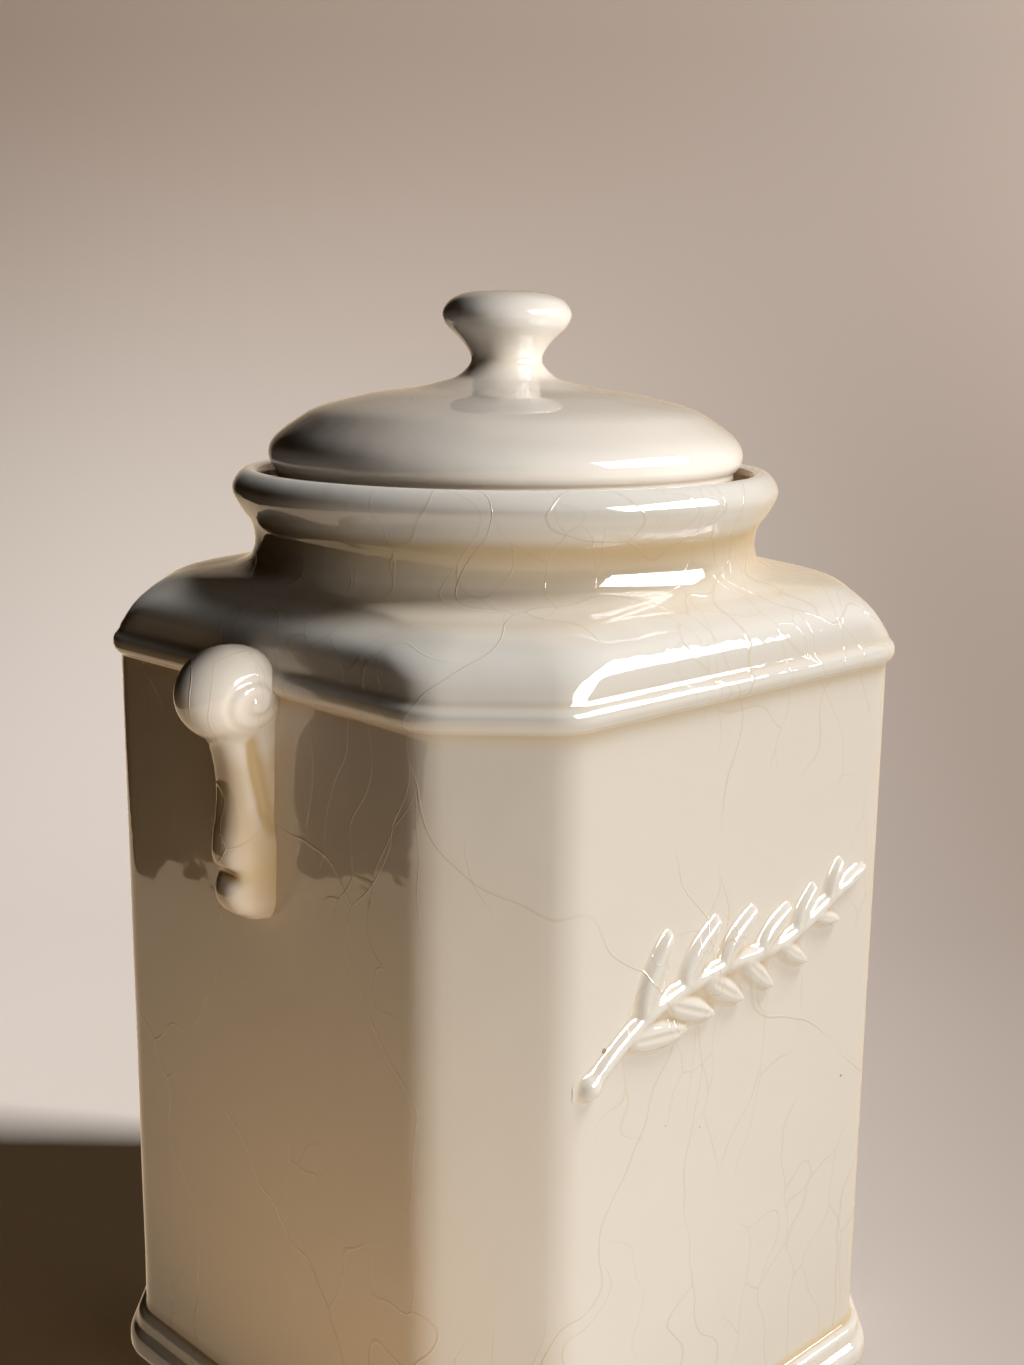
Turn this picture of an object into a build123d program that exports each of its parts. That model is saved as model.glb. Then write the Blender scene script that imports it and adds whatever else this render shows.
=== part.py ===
from build123d import *
from math import cos, pi, sin, sqrt
import os

# Glazed earthenware biscuit jar with a lift-off lid. Millimetres, +Z up, with the origin at the
# middle of the foot on the table. The front, with the raised leaf sprig, faces -Y, and the two
# scroll lugs stand on the -X and +X faces.

# Walls: a square plan with its corners cut off
across_flats = 153.6
corner_cut = 21.3  # each leg of a cut corner
arris_radius = 8.0  # softness of the upright arrises
least_arris = 2.0  # of an arris inside the walls
wall = 6.0
floor_thickness = 8.0
wall_height = 176.8  # from the foot up to the bead
cavity_radius = 7.0  # curve between the floor and the walls inside

# Foot: a plinth with a ridge above it, hollow underneath within a ring that bears on the table
plinth_height = 7.4
plinth_spread = 4.4  # beyond the walls
plinth_top_radius = 3.6
plinth_bottom_radius = 1.8
ridge_height = 3.5
ridge_spread = 2.4
ridge_radius = 1.6
foot_ring_width = 9.0
foot_recess = 3.0

# Bead along the top of the walls
bead_height = 6.2
bead_spread = 1.9
bead_under_radius = 2.4
bead_over_radius = 3.4

# Shoulder: from the eight-sided bead to the round neck. Each section above the bead has the share
# of the height that it stands at, the shares of the way to the neck that the walls and then the
# cut corners have come in by there, and how far its arrises are rounded towards a full circle.
shoulder_height = 21.8
shoulder_sections = (
    (0.098, 0.008, 0.032, 0.29),
    (0.234, 0.045, 0.095, 0.38),
    (0.335, 0.123, 0.153, 0.46),
    (0.431, 0.284, 0.231, 0.54),
    (0.518, 0.523, 0.324, 0.61),
    (0.578, 0.674, 0.429, 0.68),
    (0.619, 0.742, 0.572, 0.78),
    (0.661, 0.794, 0.736, 0.87),
    (0.706, 0.848, 0.879, 0.95),
    (0.766, 0.903, 0.947, 0.97),
    (0.867, 0.968, 0.983, 0.98),
    (1.000, 1.000, 1.000, 0.98),
)
inner_shoulder_height = 14.1
inner_fullness = 1.66  # power of the inner curve, where 2 is a true ellipse
inner_sections = 7
end_roundness = 0.97  # of the way to a full circle at the top section inside

# Neck and rolled rim, which hollows in above the shoulder and rolls out again
neck_radius = 61.3
neck_wall = 7.7
neck_ledge = 0.2  # the shoulder ends this far outside the neck
neck_root = 1.0  # the neck starts this far below the top of the shoulder
rim_height = 16.9  # from the narrowest place up to the top
rim_spread = 5.1  # of the roll beyond the neck
rim_wall = 6.7  # of the roll around the lid, at its widest
rim_widest = 12.7  # from the narrowest place up to the widest
rim_under_spread = 0.8  # the roll's underside passes through these places
rim_under_rise = 4.3
rim_flank_spread = 2.9
rim_flank_rise = 7.3
rim_lip_radius = 2.6  # inner edge of the roll
seat_depth = 4.4  # of the lid's seat below the rim

# Lid: a hollow dome, a locating flange below it and a turned knob on top
lid_gap = 1.8  # between the lid and the roll around it
lid_edge_height = 8.0  # from the seat to the widest place
lid_rise = 16.5  # from the widest place to the knob's seat
lid_brow_inset = 8.0  # the dome passes this far inside its edge at this rise, and the next
lid_brow_rise = 8.6
lid_slope_inset = 22.6
lid_slope_rise = 13.5
lid_thickness = 5.5
lid_heel_inset = 2.1  # flat underside that bears on the seat, inside the lid's edge
lid_heel_height = 4.2  # from the seat up to the rounded edge
flange_clearance = 1.2  # between the flange and the bore
flange_thickness = 4.6
flange_depth = 10.0
knob_seat_radius = 17.5
knob_height = 22.2
knob_flare_radius = 11.4  # where the foot turns up towards the waist
knob_flare_height = 2.2
knob_waist_radius = 8.6
knob_waist_height = 7.0
knob_radius = 15.9
knob_edge_height = 16.4
knob_crown_radius = 12.6
knob_crown_height = 20.7

# Scroll lugs: a ball, a stem below it and a rounded toe
lug_width = 13.4
lug_reach = 11.4  # of the stem beyond the wall, under the ball
lug_waist_reach = 10.2
lug_lip_reach = 10.2
lug_edge_radius = 4.6
lug_skirt_radius = 4.6  # slip fillet where the lug meets the wall
lip_drop = 38.0  # from the crease under the bead to the stem's lower lip
lip_radius = 2.2
ball_length = 25.4  # outwards
ball_width = 21.2
ball_reach = 19.7  # beyond the wall
toe_drop = 44.4  # from the crease to the middle of the toe
toe_reach = 9.8
toe_radius = 5.8

# Raised leaf sprig on the front
sprig_height = 127.0  # of its middle above the table
sprig_relief = 2.4  # above the wall
stem_thickness = 4.4
stem_start_left = 49.0  # each place on the stem, from the sprig's middle
stem_start_drop = 16.0
stem_bend_left = 8.0
stem_bend_drop = 1.0
stem_end_right = 41.0
stem_end_rise = 8.0
stem_bow = 4.0  # sagitta of each half of the stem, first up and then down
leaf_length = 22.0
leaf_width = 7.2
leaf_pairs = 6
leaf_spread = 38.0  # degrees between a leaf and the stem
leaf_stagger = 0.03  # share of the stem by which a pair stands apart
first_leaf = 0.16  # share of the stem at the first and the last pair
last_leaf = 0.88
tip_leaf = 0.97  # share of the stem at the foot of the leaf on its tip
tip_scale = 0.55  # size of the last pair beside the first
bud_radius = 3.0  # at the foot of the stem

touch = 0.01  # an edge this near the wall lies on it

half_flats = across_flats / 2
foot_height = plinth_height + ridge_height
crease_height = foot_height + wall_height
shoulder_base = crease_height + bead_height
neck_height = shoulder_base + shoulder_height
rim_top = neck_height + rim_height
seat_height = rim_top - seat_depth
lid_edge = seat_height + lid_edge_height
knob_seat = lid_edge + lid_rise
total_height = knob_seat + knob_height
inner_floor = foot_recess + floor_thickness
inner_shoulder_base = shoulder_base - wall / 2
inner_neck_base = inner_shoulder_base + inner_shoulder_height
bore_radius = neck_radius - neck_wall
seat_radius = neck_radius + rim_spread - rim_wall
lid_radius = seat_radius - lid_gap
lid_heel_radius = lid_radius - lid_heel_inset
flange_radius = bore_radius - flange_clearance
flange_bore = flange_radius - flange_thickness


def grown_plan(spread):
    # Half width, corner cut and arris radius of the walls' plan, grown outwards by spread.
    cut = corner_cut + spread * (2 - sqrt(2))
    return half_flats + spread, cut, max(arris_radius + spread, least_arris)


def cut_square(sketch, half, cut, radius):
    # Draws the jar's plan into the open sketch.
    Rectangle(2 * half, 2 * half)
    chamfer(sketch.vertices(), length=cut)
    fillet(sketch.vertices(), radius=radius)


def fullest_arris(cut):
    # Largest arris radius that a cut corner has room for.
    return cut / (2 - sqrt(2))


def section_plan(flat, corner, roundness):
    # The plan that reaches flat at its walls and corner at its cut corners.
    cut = 2 * flat - sqrt(2) * corner
    return flat, cut, roundness * fullest_arris(cut)


def outer_section(wall_share, corner_share, roundness):
    half, cut, radius = grown_plan(0)
    corner = (2 * half - cut) / sqrt(2)
    end = neck_radius + neck_ledge
    flat = half + (end - half) * wall_share
    return section_plan(flat, corner + (end - corner) * corner_share, roundness)


def inner_section(share):
    # The rise and the plan inside the shoulder, where share goes from 0 at the walls to 1 at the
    # mouth.
    half, cut, radius = grown_plan(-wall)
    spread = cos(share * pi / 2) ** (2 / inner_fullness)
    rise = sin(share * pi / 2) ** (2 / inner_fullness)
    flat = bore_radius + (half - bore_radius) * spread
    corner = bore_radius + ((2 * half - cut) / sqrt(2) - bore_radius) * spread
    first = radius / fullest_arris(cut)
    return rise, section_plan(flat, corner, first + (end_roundness - first) * rise)


# Mouldings that go round the jar, each filleted before it joins the body
with BuildPart() as plinth:
    with BuildSketch() as plan:
        cut_square(plan, *grown_plan(plinth_spread))
    extrude(amount=plinth_height)
    fillet(plinth.edges().group_by(Axis.Z)[-1], radius=plinth_top_radius)
    fillet(plinth.edges().group_by(Axis.Z)[0], radius=plinth_bottom_radius)

with BuildPart() as ridge:
    with BuildSketch(Plane.XY.offset(plinth_height / 2)) as plan:
        cut_square(plan, *grown_plan(ridge_spread))
    extrude(amount=foot_height - plinth_height / 2)
    fillet(ridge.edges().group_by(Axis.Z)[-1], radius=ridge_radius)

with BuildPart() as bead:
    with BuildSketch(Plane.XY.offset(crease_height)) as plan:
        cut_square(plan, *grown_plan(bead_spread))
    extrude(amount=bead_height)
    fillet(bead.edges().group_by(Axis.Z)[0], radius=bead_under_radius)
    fillet(bead.edges().group_by(Axis.Z)[-1], radius=bead_over_radius)

# Space inside the jar: the walls' plan, a shoulder of its own and the round mouth
with BuildPart() as cavity:
    with BuildSketch(Plane.XY.offset(inner_floor)) as plan:
        cut_square(plan, *grown_plan(-wall))
    extrude(amount=inner_shoulder_base - inner_floor)
    fillet(cavity.edges().group_by(Axis.Z)[0], radius=cavity_radius)
    for step in range(inner_sections):
        rise, section = inner_section(step / (inner_sections - 1))
        height = inner_shoulder_base + inner_shoulder_height * rise
        with BuildSketch(Plane.XY.offset(height)) as plan:
            cut_square(plan, *section)
    loft()
    with BuildSketch(Plane.XY.offset(inner_neck_base - wall / 2)):
        Circle(bore_radius)
    extrude(amount=rim_top - inner_neck_base + wall / 2)

with BuildPart() as foot_hollow:
    with BuildSketch() as plan:
        cut_square(plan, *grown_plan(plinth_spread - foot_ring_width))
    extrude(amount=foot_recess)
    fillet(foot_hollow.edges().group_by(Axis.Z)[-1], radius=foot_recess / 2)

# Jar body: cast in one piece from the foot to the rim
with BuildPart() as jar_body:
    # walls and mouldings
    with BuildSketch(Plane.XY.offset(plinth_height / 2)) as plan:
        cut_square(plan, *grown_plan(0))
    extrude(amount=shoulder_base - plinth_height / 2)
    add(plinth.part)
    add(ridge.part)
    add(bead.part)

    # shoulder
    with BuildSketch(Plane.XY.offset(shoulder_base)) as plan:
        cut_square(plan, *grown_plan(0))
    for rise, wall_share, corner_share, roundness in shoulder_sections:
        with BuildSketch(Plane.XY.offset(shoulder_base + shoulder_height * rise)) as plan:
            cut_square(plan, *outer_section(wall_share, corner_share, roundness))
    loft()

    # neck and rolled rim
    with BuildSketch(Plane.XZ):
        with BuildLine():
            root = (neck_radius, neck_height - neck_root)
            narrowest = (neck_radius, neck_height)
            under = (neck_radius + rim_under_spread, neck_height + rim_under_rise)
            flank = (neck_radius + rim_flank_spread, neck_height + rim_flank_rise)
            widest = (neck_radius + rim_spread, neck_height + rim_widest)
            lip = (seat_radius + rim_lip_radius, rim_top)
            lip_end = (seat_radius, rim_top - rim_lip_radius)
            seat = (seat_radius, seat_height)
            Line(root, narrowest)
            Spline(narrowest, under, flank, widest, tangents=[(0, 1), (0, 1)])
            Spline(widest, lip, tangents=[(0, 1), (-1, 0)])
            RadiusArc(lip, lip_end, -rim_lip_radius)
            Polyline(lip_end, seat, (bore_radius, seat_height), (bore_radius, root[1]), root)
        make_face()
    revolve(axis=Axis.Z)

    # inside
    add(cavity.part, mode=Mode.SUBTRACT)
    add(foot_hollow.part, mode=Mode.SUBTRACT)

# Lid: a hollow dome, glazed all over, that bears on the seat with its flat heel
with BuildPart() as lid_dome:
    with BuildSketch(Plane.XZ):
        with BuildLine():
            seat_edge = (knob_seat_radius, knob_seat)
            slope = (lid_radius - lid_slope_inset, lid_edge + lid_slope_rise)
            brow = (lid_radius - lid_brow_inset, lid_edge + lid_brow_rise)
            widest = (lid_radius, lid_edge)
            heel_top = (lid_heel_radius, seat_height + lid_heel_height)
            heel = (lid_heel_radius, seat_height)
            inner_side = (flange_bore, seat_height + lid_heel_height)
            inner_top = (0, knob_seat - lid_thickness)
            Spline(seat_edge, slope, brow, widest, tangents=[(1, -0.12), (0, -1)])
            Spline(widest, heel_top, tangents=[(0, -1), (-1, 0)])
            Polyline(heel_top, heel, (flange_bore, seat_height), inner_side)
            Spline(inner_side, inner_top, tangents=[(-0.3, 1), (-1, 0)])
            Polyline(inner_top, (0, knob_seat), seat_edge)
        make_face()
    revolve(axis=Axis.Z)

# Flange: a plain ring luted under the lid, inside the mouth, that keeps the lid from sliding
with BuildPart() as lid_flange:
    with BuildSketch(Plane.XY.offset(seat_height)):
        Circle(flange_radius)
        Circle(flange_bore, mode=Mode.SUBTRACT)
    extrude(amount=-flange_depth)
    fillet(lid_flange.edges().group_by(Axis.Z)[0], radius=flange_thickness / 3)

# Knob: a turned mushroom knob whose flared foot runs out on the dome
with BuildPart() as lid_knob:
    with BuildSketch(Plane.XZ):
        with BuildLine():
            foot = (knob_seat_radius, knob_seat)
            flare = (knob_flare_radius, knob_seat + knob_flare_height)
            waist = (knob_waist_radius, knob_seat + knob_waist_height)
            edge = (knob_radius, knob_seat + knob_edge_height)
            crown = (knob_crown_radius, knob_seat + knob_crown_height)
            top = (0, total_height)
            Spline(foot, flare, waist, tangents=[(-1, 0.12), (0, 1)])
            Spline(waist, edge, tangents=[(0, 1), (0, 1)])
            Spline(edge, crown, top, tangents=[(0, 1), (-1, 0)])
            Polyline(top, (0, knob_seat), foot)
        make_face()
    revolve(axis=Axis.Z)

# Scroll lug on the -X face. Its stem and toe get their skirts against a slab of wall, and each
# is then cut back to the wall.
def wall_slab():
    with Locations((wall / 2 - half_flats, 0, crease_height - lip_drop)):
        Box(wall, 4 * lug_width, 4 * lip_drop)


def skirt_edges(part):
    on_wall = part.edges().filter_by_position(Axis.X, -half_flats - touch, -half_flats + touch)
    return on_wall.filter_by_position(Axis.Y, -lug_width, lug_width)


with BuildPart() as lug_stem:
    lip_height = crease_height - lip_drop
    for height, reach in (
        (crease_height, lug_reach),
        (crease_height - lip_drop / 2, lug_waist_reach),
        (lip_height, lug_lip_reach),
    ):
        with BuildSketch(Plane.XY.offset(height)):
            with Locations((-half_flats, 0)):
                RectangleRounded(2 * reach, lug_width, lug_edge_radius)
    loft()
    fillet(lug_stem.edges().group_by(Axis.Z)[0], radius=lip_radius)
    wall_slab()
    fillet(skirt_edges(lug_stem).group_by(Axis.Z)[:-1], radius=lug_skirt_radius)
    split(bisect_by=Plane.YZ.offset(-half_flats), keep=Keep.BOTTOM)

with BuildPart() as lug_toe:
    toe_height = crease_height - toe_drop
    with BuildSketch(Plane.XZ):
        with Locations((-half_flats, toe_height)):
            Ellipse(toe_reach, toe_radius)
        with Locations((-half_flats, toe_height - toe_radius)):
            Rectangle(4 * toe_reach, 2 * toe_radius, mode=Mode.SUBTRACT)
    revolve(axis=Axis((-half_flats, 0, toe_height), (1, 0, 0)))
    wall_slab()
    fillet(skirt_edges(lug_toe), radius=lug_skirt_radius)
    split(bisect_by=Plane.YZ.offset(-half_flats), keep=Keep.BOTTOM)

with BuildPart() as lug_left:
    ball_middle = ball_length / 2 - half_flats - ball_reach
    with BuildSketch(Plane.XZ):
        with Locations((ball_middle, crease_height)):
            Ellipse(ball_length / 2, ball_width / 2)
        with Locations((ball_middle, crease_height - ball_width / 2)):
            Rectangle(2 * ball_length, ball_width, mode=Mode.SUBTRACT)
    revolve(axis=Axis((ball_middle, 0, crease_height), (1, 0, 0)))
    add(lug_stem.part)
    add(lug_toe.part)
    add(jar_body.part, mode=Mode.SUBTRACT)

with BuildPart() as lug_right:
    add(lug_left.part.rotate(Axis.Z, 180))

# Leaf sprig raised on the front: half-round stem, pointed leaves and a bud, flat at the wall.
# The leaf and the bud are shaped lying on the XY plane first.
with BuildPart() as leaf:
    with BuildSketch(Plane.XY.offset(sprig_relief - leaf_width / 2)):
        with BuildLine():
            ThreePointArc((0, 0), (leaf_length / 2, leaf_width / 2), (leaf_length, 0))
            Line((leaf_length, 0), (0, 0))
        make_face()
    revolve(axis=Axis((0, 0, sprig_relief - leaf_width / 2), (1, 0, 0)))
    split(bisect_by=Plane.XY, keep=Keep.TOP)

with BuildPart() as bud:
    with Locations((0, 0, sprig_relief - bud_radius)):
        Sphere(bud_radius)
    split(bisect_by=Plane.XY, keep=Keep.TOP)

front = Plane(origin=(0, -half_flats, sprig_height), x_dir=(1, 0, 0), z_dir=(0, -1, 0))
with BuildPart() as front_relief:
    with BuildLine(front) as stem_line:
        stem_bend = (-stem_bend_left, -stem_bend_drop)
        SagittaArc((-stem_start_left, -stem_start_drop), stem_bend, stem_bow)
        SagittaArc(stem_bend, (stem_end_right, stem_end_rise), -stem_bow)
    stem = stem_line.wires()[0]
    with BuildSketch(Plane(origin=stem @ 0, x_dir=front.z_dir, z_dir=stem % 0)):
        Circle(stem_thickness / 2)
        with Locations((-stem_thickness / 2, 0)):
            Rectangle(stem_thickness, stem_thickness, mode=Mode.SUBTRACT)
    sweep(path=stem)
    with Locations(Plane(origin=stem @ 0, x_dir=stem % 0, z_dir=front.z_dir)):
        add(bud.part)
    for number in range(leaf_pairs):
        share = number / (leaf_pairs - 1)
        size = 1 + (tip_scale - 1) * share
        for side in (-1, 1):
            place = first_leaf + (last_leaf - first_leaf) * share + side * leaf_stagger
            along = (stem % place).rotate(Axis.Y, -side * leaf_spread)
            with Locations(Plane(origin=stem @ place, x_dir=along, z_dir=front.z_dir)):
                add(scale(leaf.part, by=size, mode=Mode.PRIVATE))
    with Locations(Plane(origin=stem @ tip_leaf, x_dir=stem % tip_leaf, z_dir=front.z_dir)):
        add(scale(leaf.part, by=tip_scale, mode=Mode.PRIVATE))

os.makedirs("parts", exist_ok=True)
for name, piece in {
    "jar_body": jar_body,
    "lug_left": lug_left,
    "lug_right": lug_right,
    "front_relief": front_relief,
    "lid_dome": lid_dome,
    "lid_flange": lid_flange,
    "lid_knob": lid_knob,
}.items():
    piece.part.label = name
    export_step(piece.part, f"parts/{name}.step")
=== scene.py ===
import bpy
import numpy as np
from math import cos, pi, radians, sin, sqrt
from mathutils import Matrix, Vector, noise


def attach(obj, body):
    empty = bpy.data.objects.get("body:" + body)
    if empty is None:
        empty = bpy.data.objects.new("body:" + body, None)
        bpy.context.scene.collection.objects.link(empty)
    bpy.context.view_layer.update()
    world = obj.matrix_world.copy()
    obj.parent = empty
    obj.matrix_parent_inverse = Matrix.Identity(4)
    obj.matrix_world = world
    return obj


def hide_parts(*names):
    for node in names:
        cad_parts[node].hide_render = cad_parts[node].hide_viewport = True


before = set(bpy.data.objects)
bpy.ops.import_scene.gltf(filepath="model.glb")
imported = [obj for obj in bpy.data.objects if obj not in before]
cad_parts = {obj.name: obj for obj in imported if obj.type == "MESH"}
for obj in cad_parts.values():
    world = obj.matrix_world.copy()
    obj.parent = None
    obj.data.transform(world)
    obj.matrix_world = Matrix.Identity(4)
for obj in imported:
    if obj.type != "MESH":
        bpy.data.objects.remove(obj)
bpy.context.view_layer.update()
scene = bpy.context.scene
scene.view_settings.view_transform = "Standard"
millimetre = 0.001
lineStep = 0.2  # millimetres between the points of a line before it is thinned
tiny = 1e-9  # keeps a divisor off zero
print("frame loaded")


# Camera: stands in front of the jar's front left corner, a little above it
camera = {
    "place": (-0.28635, -0.29343, 0.26516),  # metres
    "heading": 45.405,  # degrees from +X towards +Y
    "tilt": 11.955,  # degrees down
    "roll": 0.60,
    "lens": 43.78,
}


def makeCamera(values):
    data = bpy.data.cameras.new("camera")
    data.lens = values["lens"]
    data.clip_start = 0.01
    rig = bpy.data.objects.new("camera", data)
    scene.collection.objects.link(rig)
    heading, tilt, roll = (radians(values[key]) for key in ("heading", "tilt", "roll"))
    ahead = Vector((cos(heading) * cos(tilt), sin(heading) * cos(tilt), -sin(tilt)))
    right = ahead.cross(Vector((0, 0, 1))).normalized()
    up = right.cross(ahead)
    right, up = right * cos(roll) + up * sin(roll), up * cos(roll) - right * sin(roll)
    turn = Matrix((right, up, -ahead)).transposed()
    rig.matrix_world = Matrix.Translation(values["place"]) @ turn.to_4x4()
    scene.camera = rig


makeCamera(camera)
print("camera placed")


# Mesh helpers, all in millimetres until the mesh is made
def bellWeights(step, spread):
    # Weights of a bell-shaped average over points that are a step apart.
    reach = max(1, int(3 * spread / step))
    weights = np.exp(-0.5 * (np.arange(-reach, reach + 1) * step / spread) ** 2)
    return weights / weights.sum()


def softened(rows, step, spread):
    # Resamples a line of rows evenly and rounds its corners, as a coat of glaze does.
    rows = np.array(rows, float)
    gaps = np.hypot(*(np.diff(rows[:, :2], axis=0).T))
    along = np.concatenate(([0.0], np.cumsum(gaps)))
    count = int(along[-1] / step) + 1
    even = np.linspace(0, along[-1], count)
    dense = np.stack([np.interp(even, along, column) for column in rows.T], 1)
    weights = bellWeights(step, spread)
    reach = len(weights) // 2
    before = 2 * dense[0] - dense[reach:0:-1]
    after = 2 * dense[-1] - dense[-2:-reach - 2:-1]
    padded = np.concatenate((before, dense, after))
    return np.stack([np.convolve(column, weights, "valid") for column in padded.T], 1)


def thinned(rows, finest, widest, bend):
    # Keeps the rows that the line's bends need, closer together where it turns.
    ahead = np.diff(rows[:, :2], axis=0)
    angle = np.unwrap(np.arctan2(ahead[:, 1], ahead[:, 0]))
    kept, lastAt, travelled = [0], 0, 0.0
    for index in range(1, len(rows) - 1):
        travelled += np.hypot(*ahead[index - 1])
        turned = abs(angle[index] - angle[lastAt])
        if travelled >= widest or (travelled >= finest and turned >= bend):
            kept.append(index)
            lastAt, travelled = index, 0.0
    return rows[kept + [len(rows) - 1]]


def arc(centre, radius, start, end, steps=10):
    angles = np.radians(np.linspace(start, end, steps))
    return [(centre[0] + radius * cos(a), centre[1] + radius * sin(a)) for a in angles]


def cubicAt(t, length, rows, slopes, index):
    # Point at share t of a smooth curve from one row to the next.
    return ((2 * t**3 - 3 * t**2 + 1) * rows[index] + (t**3 - 2 * t**2 + t) * length * slopes[index]
            + (3 * t**2 - 2 * t**3) * rows[index + 1] + (t**3 - t**2) * length * slopes[index + 1])


def curveThrough(points, first, last, steps):
    # Smooth curve through points, with the given directions at its two ends.
    points = [np.array(p, float) for p in points]
    chords = [np.linalg.norm(b - a) for a, b in zip(points, points[1:])]
    slopes = [np.array(first, float) / np.linalg.norm(first)]
    for index in range(1, len(points) - 1):
        back = (points[index] - points[index - 1]) / chords[index - 1]
        on = (points[index + 1] - points[index]) / chords[index]
        share = chords[index - 1] / (chords[index - 1] + chords[index])
        slopes.append(back * (1 - share) + on * share)
    slopes.append(np.array(last, float) / np.linalg.norm(last))
    made = []
    for index, chord in enumerate(chords):
        for t in np.linspace(0, 1, steps)[int(index > 0):]:
            made.append(tuple(cubicAt(t, chord, points, slopes, index)))
    return made


def smoothTable(rows, parts):
    # Fills in between the rows of a table with smooth curves, its first column rising evenly.
    rows = np.array(rows, float)
    rises = np.diff(rows[:, 0])
    slopes = np.diff(rows, axis=0) / rises[:, None]
    middle = (slopes[:-1] * rises[1:, None] + slopes[1:] * rises[:-1, None])
    middle /= (rises[:-1] + rises[1:])[:, None]
    tangents = np.concatenate((slopes[:1], middle, slopes[-1:]))
    made = []
    for index, rise in enumerate(rises):
        for t in np.linspace(0, 1, parts, endpoint=False):
            made.append(cubicAt(t, rise, rows, tangents, index))
    return made + [rows[-1]]


def ringFaces(rows, around, closed=False):
    # Quads between rings of points, and from the last ring to the first where they close.
    faces = []
    for row in range(rows if closed else rows - 1):
        low, high = row * around, (row + 1) % rows * around
        for step in range(around):
            after = (step + 1) % around
            faces.append((low + step, low + after, high + after, high + step))
    return faces


def cappedFaces(rows, around):
    # Rings closed at both ends towards two points that come after them.
    faces = ringFaces(rows, around)
    low, top = rows * around, (rows - 1) * around
    for step in range(around):
        after = (step + 1) % around
        faces.append((low, after, step))
        faces.append((low + 1, top + step, top + after))
    return faces


def addMesh(name, points, faces):
    mesh = bpy.data.meshes.new(name)
    mesh.from_pydata(points, [], faces)
    mesh.validate()
    mesh.shade_smooth()
    thing = bpy.data.objects.new(name, mesh)
    scene.collection.objects.link(thing)
    return thing


def makePiece(name, points, faces, body, nodes):
    piece = addMesh(name, (np.asarray(points) * millimetre).tolist(), faces)
    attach(piece, body)
    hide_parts(*nodes)
    return piece


def readRows(things, name, width, kind):
    # A row of numbers for each vertex or edge of a mesh.
    rows = np.zeros(len(things) * width, kind)
    things.foreach_get(name, rows)
    return rows.reshape(-1, width)


def spreadOver(values, edges, rounds):
    # Averages a value over each vertex and its neighbours, several times.
    values = values.astype(float)
    shape = (-1,) + (1,) * (values.ndim - 1)
    degree = np.bincount(edges.ravel(), minlength=len(values)).reshape(shape) + 1
    for _ in range(rounds):
        total = values.copy()
        np.add.at(total, edges[:, 0], values[edges[:, 1]])
        np.add.at(total, edges[:, 1], values[edges[:, 0]])
        values = total / degree
    return values


def hollowAlong(line, reach, full):
    # How hollow a line is, from -1 on a ridge to 1 in a crease, where glaze gathers.
    smooth = softened(line[:, :2], lineStep, reach)
    count = min(len(smooth), len(line))
    ahead = np.gradient(line[:, :2], axis=0)
    ahead /= np.linalg.norm(ahead, axis=1)[:, None] + tiny
    away = (smooth[:count] - line[:count, :2]) * np.column_stack((ahead[:, 1], -ahead[:, 0]))[:count]
    hollow = np.zeros(len(line))
    hollow[:count] = away.sum(1) / full
    return np.clip(hollow, -1, 1)


def writeValues(piece, name, values):
    layer = piece.data.attributes.new(name, "FLOAT", "POINT")
    layer.data.foreach_set("value", values)


def markPoolsAndShade(piece, reach, full, paintedShade=0.0):
    # Writes how hollow a finely meshed surface is, with any painted shade added to it.
    mesh = piece.data
    points = readRows(mesh.vertices, "co", 3, float)
    normals = readRows(mesh.vertices, "normal", 3, float)
    edges = readRows(mesh.edges, "vertices", 2, int)
    lengths = np.linalg.norm(points[edges[:, 0]] - points[edges[:, 1]], axis=1)
    rounds = max(1, int((reach * millimetre / np.median(lengths)) ** 2))
    smooth = spreadOver(points, edges, rounds)
    hollow = ((smooth - points) * normals).sum(1) / (full * millimetre)
    hollow = spreadOver(hollow, edges, max(1, rounds // 3)) + paintedShade
    writeValues(piece, "poolAndShade", np.clip(hollow, -1, 1))


# Values of poolAndShade beyond its hollows and ridges: dirt with painted shade in the gap at the
# lid's seat, and bare clay with no glaze at all
glazeMarks = {"seatDirtAndShade": 2.0, "clay": -2.0}

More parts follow.
